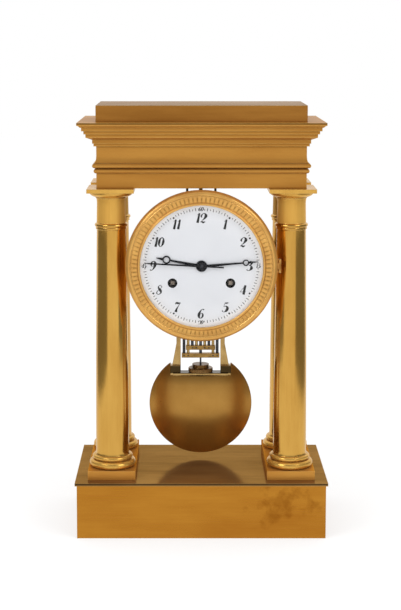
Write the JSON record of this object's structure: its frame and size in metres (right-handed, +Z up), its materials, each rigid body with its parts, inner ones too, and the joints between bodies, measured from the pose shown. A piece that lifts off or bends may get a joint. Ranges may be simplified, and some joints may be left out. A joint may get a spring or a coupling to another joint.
{
  "type": "portico clock",
  "caption": "Gilt portico clock: columns on a box base carry a stepped entablature, with a hinged-bezel drum dial hung below it before a gridiron pendulum and round bob.",
  "frame": {"origin": "middle of the base, on the plane it stands on", "axes": "+Z up, the dial faces -Y, +X to the right of someone who reads the dial"},
  "size_m": [0.264, 0.146, 0.4513],
  "materials": {
    "gilt_bronze": "satin",
    "brass": "satin",
    "steel": "satin",
    "black_steel": "satin",
    "enamel": "gloss",
    "glass": "polished"
  },
  "bodies": {
    "case": {"base_box": "gilt_bronze", "base_plate": "gilt_bronze", "plinth_left": "gilt_bronze", "plinth_right": "gilt_bronze", "column_foot_front_left": "gilt_bronze", "column_foot_front_right": "gilt_bronze", "column_foot_rear_left": "gilt_bronze", "column_foot_rear_right": "gilt_bronze", "column_shaft_front_left": "gilt_bronze", "column_shaft_front_right": "gilt_bronze", "column_shaft_rear_left": "gilt_bronze", "column_shaft_rear_right": "gilt_bronze", "capital_front_left": "gilt_bronze", "capital_front_right": "gilt_bronze", "capital_rear_left": "gilt_bronze", "capital_rear_right": "gilt_bronze", "tie_rods": "steel", "architrave": "gilt_bronze", "frieze": "gilt_bronze", "cornice": "gilt_bronze", "attic_block": "gilt_bronze", "movement_hangers": "black_steel", "suspension_bracket": "steel", "drum_case": "gilt_bronze", "dial": "enamel", "bezel_hinge_pin": "brass", "front_plate": "brass", "back_plate": "brass", "plate_pillars": "brass", "bell_stand": "steel", "bell": "brass", "pallet_cock": "brass", "mainsprings": "steel"},
    "bezel": {"bezel_ring": "gilt_bronze", "bezel_glass": "glass"},
    "minute": {"minute_hand": "black_steel", "cannon_pinion": "brass"},
    "motion": {"motion_wheel": "brass"},
    "hour": {"hour_hand": "black_steel", "hour_wheel": "brass"},
    "seconds": {"seconds_hand": "black_steel", "escape_wheel": "brass"},
    "third": {"third_wheel": "brass"},
    "centre": {"centre_wheel": "brass"},
    "intermediate": {"intermediate_wheel": "brass"},
    "going_barrel": {"going_barrel": "brass"},
    "going_arbor": {"going_arbor": "steel"},
    "strike_barrel": {"strike_barrel": "brass"},
    "strike_arbor": {"strike_arbor": "steel"},
    "pin_wheel": {"pin_wheel": "brass"},
    "hammer": {"hammer": "steel"},
    "anchor": {"anchor_crutch": "steel"},
    "pendulum": {"steel_rods": "steel", "brass_rods": "brass", "centre_rod": "steel", "crossbars": "brass", "knife_edge": "steel"},
    "bob": {"bob": "gilt_bronze", "bob_stirrup": "brass"},
    "nut": {"rating_nut": "brass"}
  },
  "joints": [
    {"name": "bezel_hinge", "type": "hinge", "parent": "case", "child": "bezel", "pos_m": [0.081, -0.056, 0.286], "axis": [0, 0, 1], "range_deg": [0, 100]},
    {"name": "minute_turn", "type": "hinge", "parent": "case", "child": "minute", "pos_m": [0, 0, 0.286], "axis": [0, 1, 0], "continuous": true},
    {"name": "motion_turn", "type": "hinge", "parent": "case", "child": "motion", "pos_m": [0, 0, 0.27], "axis": [0, 1, 0], "continuous": true},
    {"name": "hour_turn", "type": "hinge", "parent": "case", "child": "hour", "pos_m": [0, 0, 0.286], "axis": [0, 1, 0], "continuous": true},
    {"name": "seconds_turn", "type": "hinge", "parent": "case", "child": "seconds", "pos_m": [0, 0, 0.286], "axis": [0, 1, 0], "continuous": true},
    {"name": "third_turn", "type": "hinge", "parent": "case", "child": "third", "pos_m": [-0.02143, 0, 0.29838], "axis": [0, 1, 0], "continuous": true},
    {"name": "centre_turn", "type": "hinge", "parent": "case", "child": "centre", "pos_m": [0, 0, 0.286], "axis": [0, 1, 0], "continuous": true},
    {"name": "intermediate_turn", "type": "hinge", "parent": "case", "child": "intermediate", "pos_m": [0.02274, 0, 0.29686], "axis": [0, 1, 0], "continuous": true},
    {"name": "going_barrel_turn", "type": "hinge", "parent": "case", "child": "going_barrel", "pos_m": [0.03, 0, 0.268], "axis": [0, 1, 0], "continuous": true},
    {"name": "going_winding", "type": "hinge", "parent": "case", "child": "going_arbor", "pos_m": [0.03, 0, 0.268], "axis": [0, 1, 0], "range_deg": [0, 1800]},
    {"name": "strike_barrel_turn", "type": "hinge", "parent": "case", "child": "strike_barrel", "pos_m": [-0.03, 0, 0.268], "axis": [0, 1, 0], "continuous": true},
    {"name": "strike_winding", "type": "hinge", "parent": "case", "child": "strike_arbor", "pos_m": [-0.03, 0, 0.268], "axis": [0, 1, 0], "range_deg": [0, 1800]},
    {"name": "pin_wheel_turn", "type": "hinge", "parent": "case", "child": "pin_wheel", "pos_m": [-0.00125, 0, 0.2603], "axis": [0, 1, 0], "continuous": true},
    {"name": "hammer_swing", "type": "hinge", "parent": "case", "child": "hammer", "pos_m": [-0.037, 0, 0.2395], "axis": [0, 1, 0], "range_deg": [-14, 0], "stiffness_Nm_per_rad": 0.01, "springref_deg": 5.73},
    {"name": "pendulum_swing", "type": "hinge", "parent": "case", "child": "pendulum", "pos_m": [0, 0.027, 0.372], "axis": [0, 1, 0], "range_deg": [-3, 3]},
    {"name": "anchor_rock", "type": "hinge", "parent": "case", "child": "anchor", "pos_m": [0, 0, 0.31711], "axis": [0, 1, 0], "range_deg": [-5.4, 5.4]},
    {"name": "bob_slide", "type": "slide", "parent": "pendulum", "child": "bob", "axis": [0, 0, 1], "range_m": [-0.0015, 0.0015]},
    {"name": "nut_turn", "type": "hinge", "parent": "bob", "child": "nut", "pos_m": [0, 0.027, 0.16], "axis": [0, 0, 1], "range_deg": [-1081, 1081]}
  ],
  "couplings": [
    {"joint": "motion_turn", "follows": "minute_turn", "ratio": -0.33333},
    {"joint": "hour_turn", "follows": "minute_turn", "ratio": 0.083333},
    {"joint": "third_turn", "follows": "seconds_turn", "ratio": -0.13333},
    {"joint": "centre_turn", "follows": "seconds_turn", "ratio": 0.016667},
    {"joint": "intermediate_turn", "follows": "seconds_turn", "ratio": -0.0027778},
    {"joint": "going_barrel_turn", "follows": "seconds_turn", "ratio": 0.00039683},
    {"joint": "strike_barrel_turn", "follows": "pin_wheel_turn", "ratio": -0.14286},
    {"joint": "anchor_rock", "follows": "pendulum_swing", "ratio": 1.784},
    {"joint": "nut_turn", "follows": "bob_slide", "rad_per_m": 12566}
  ]
}
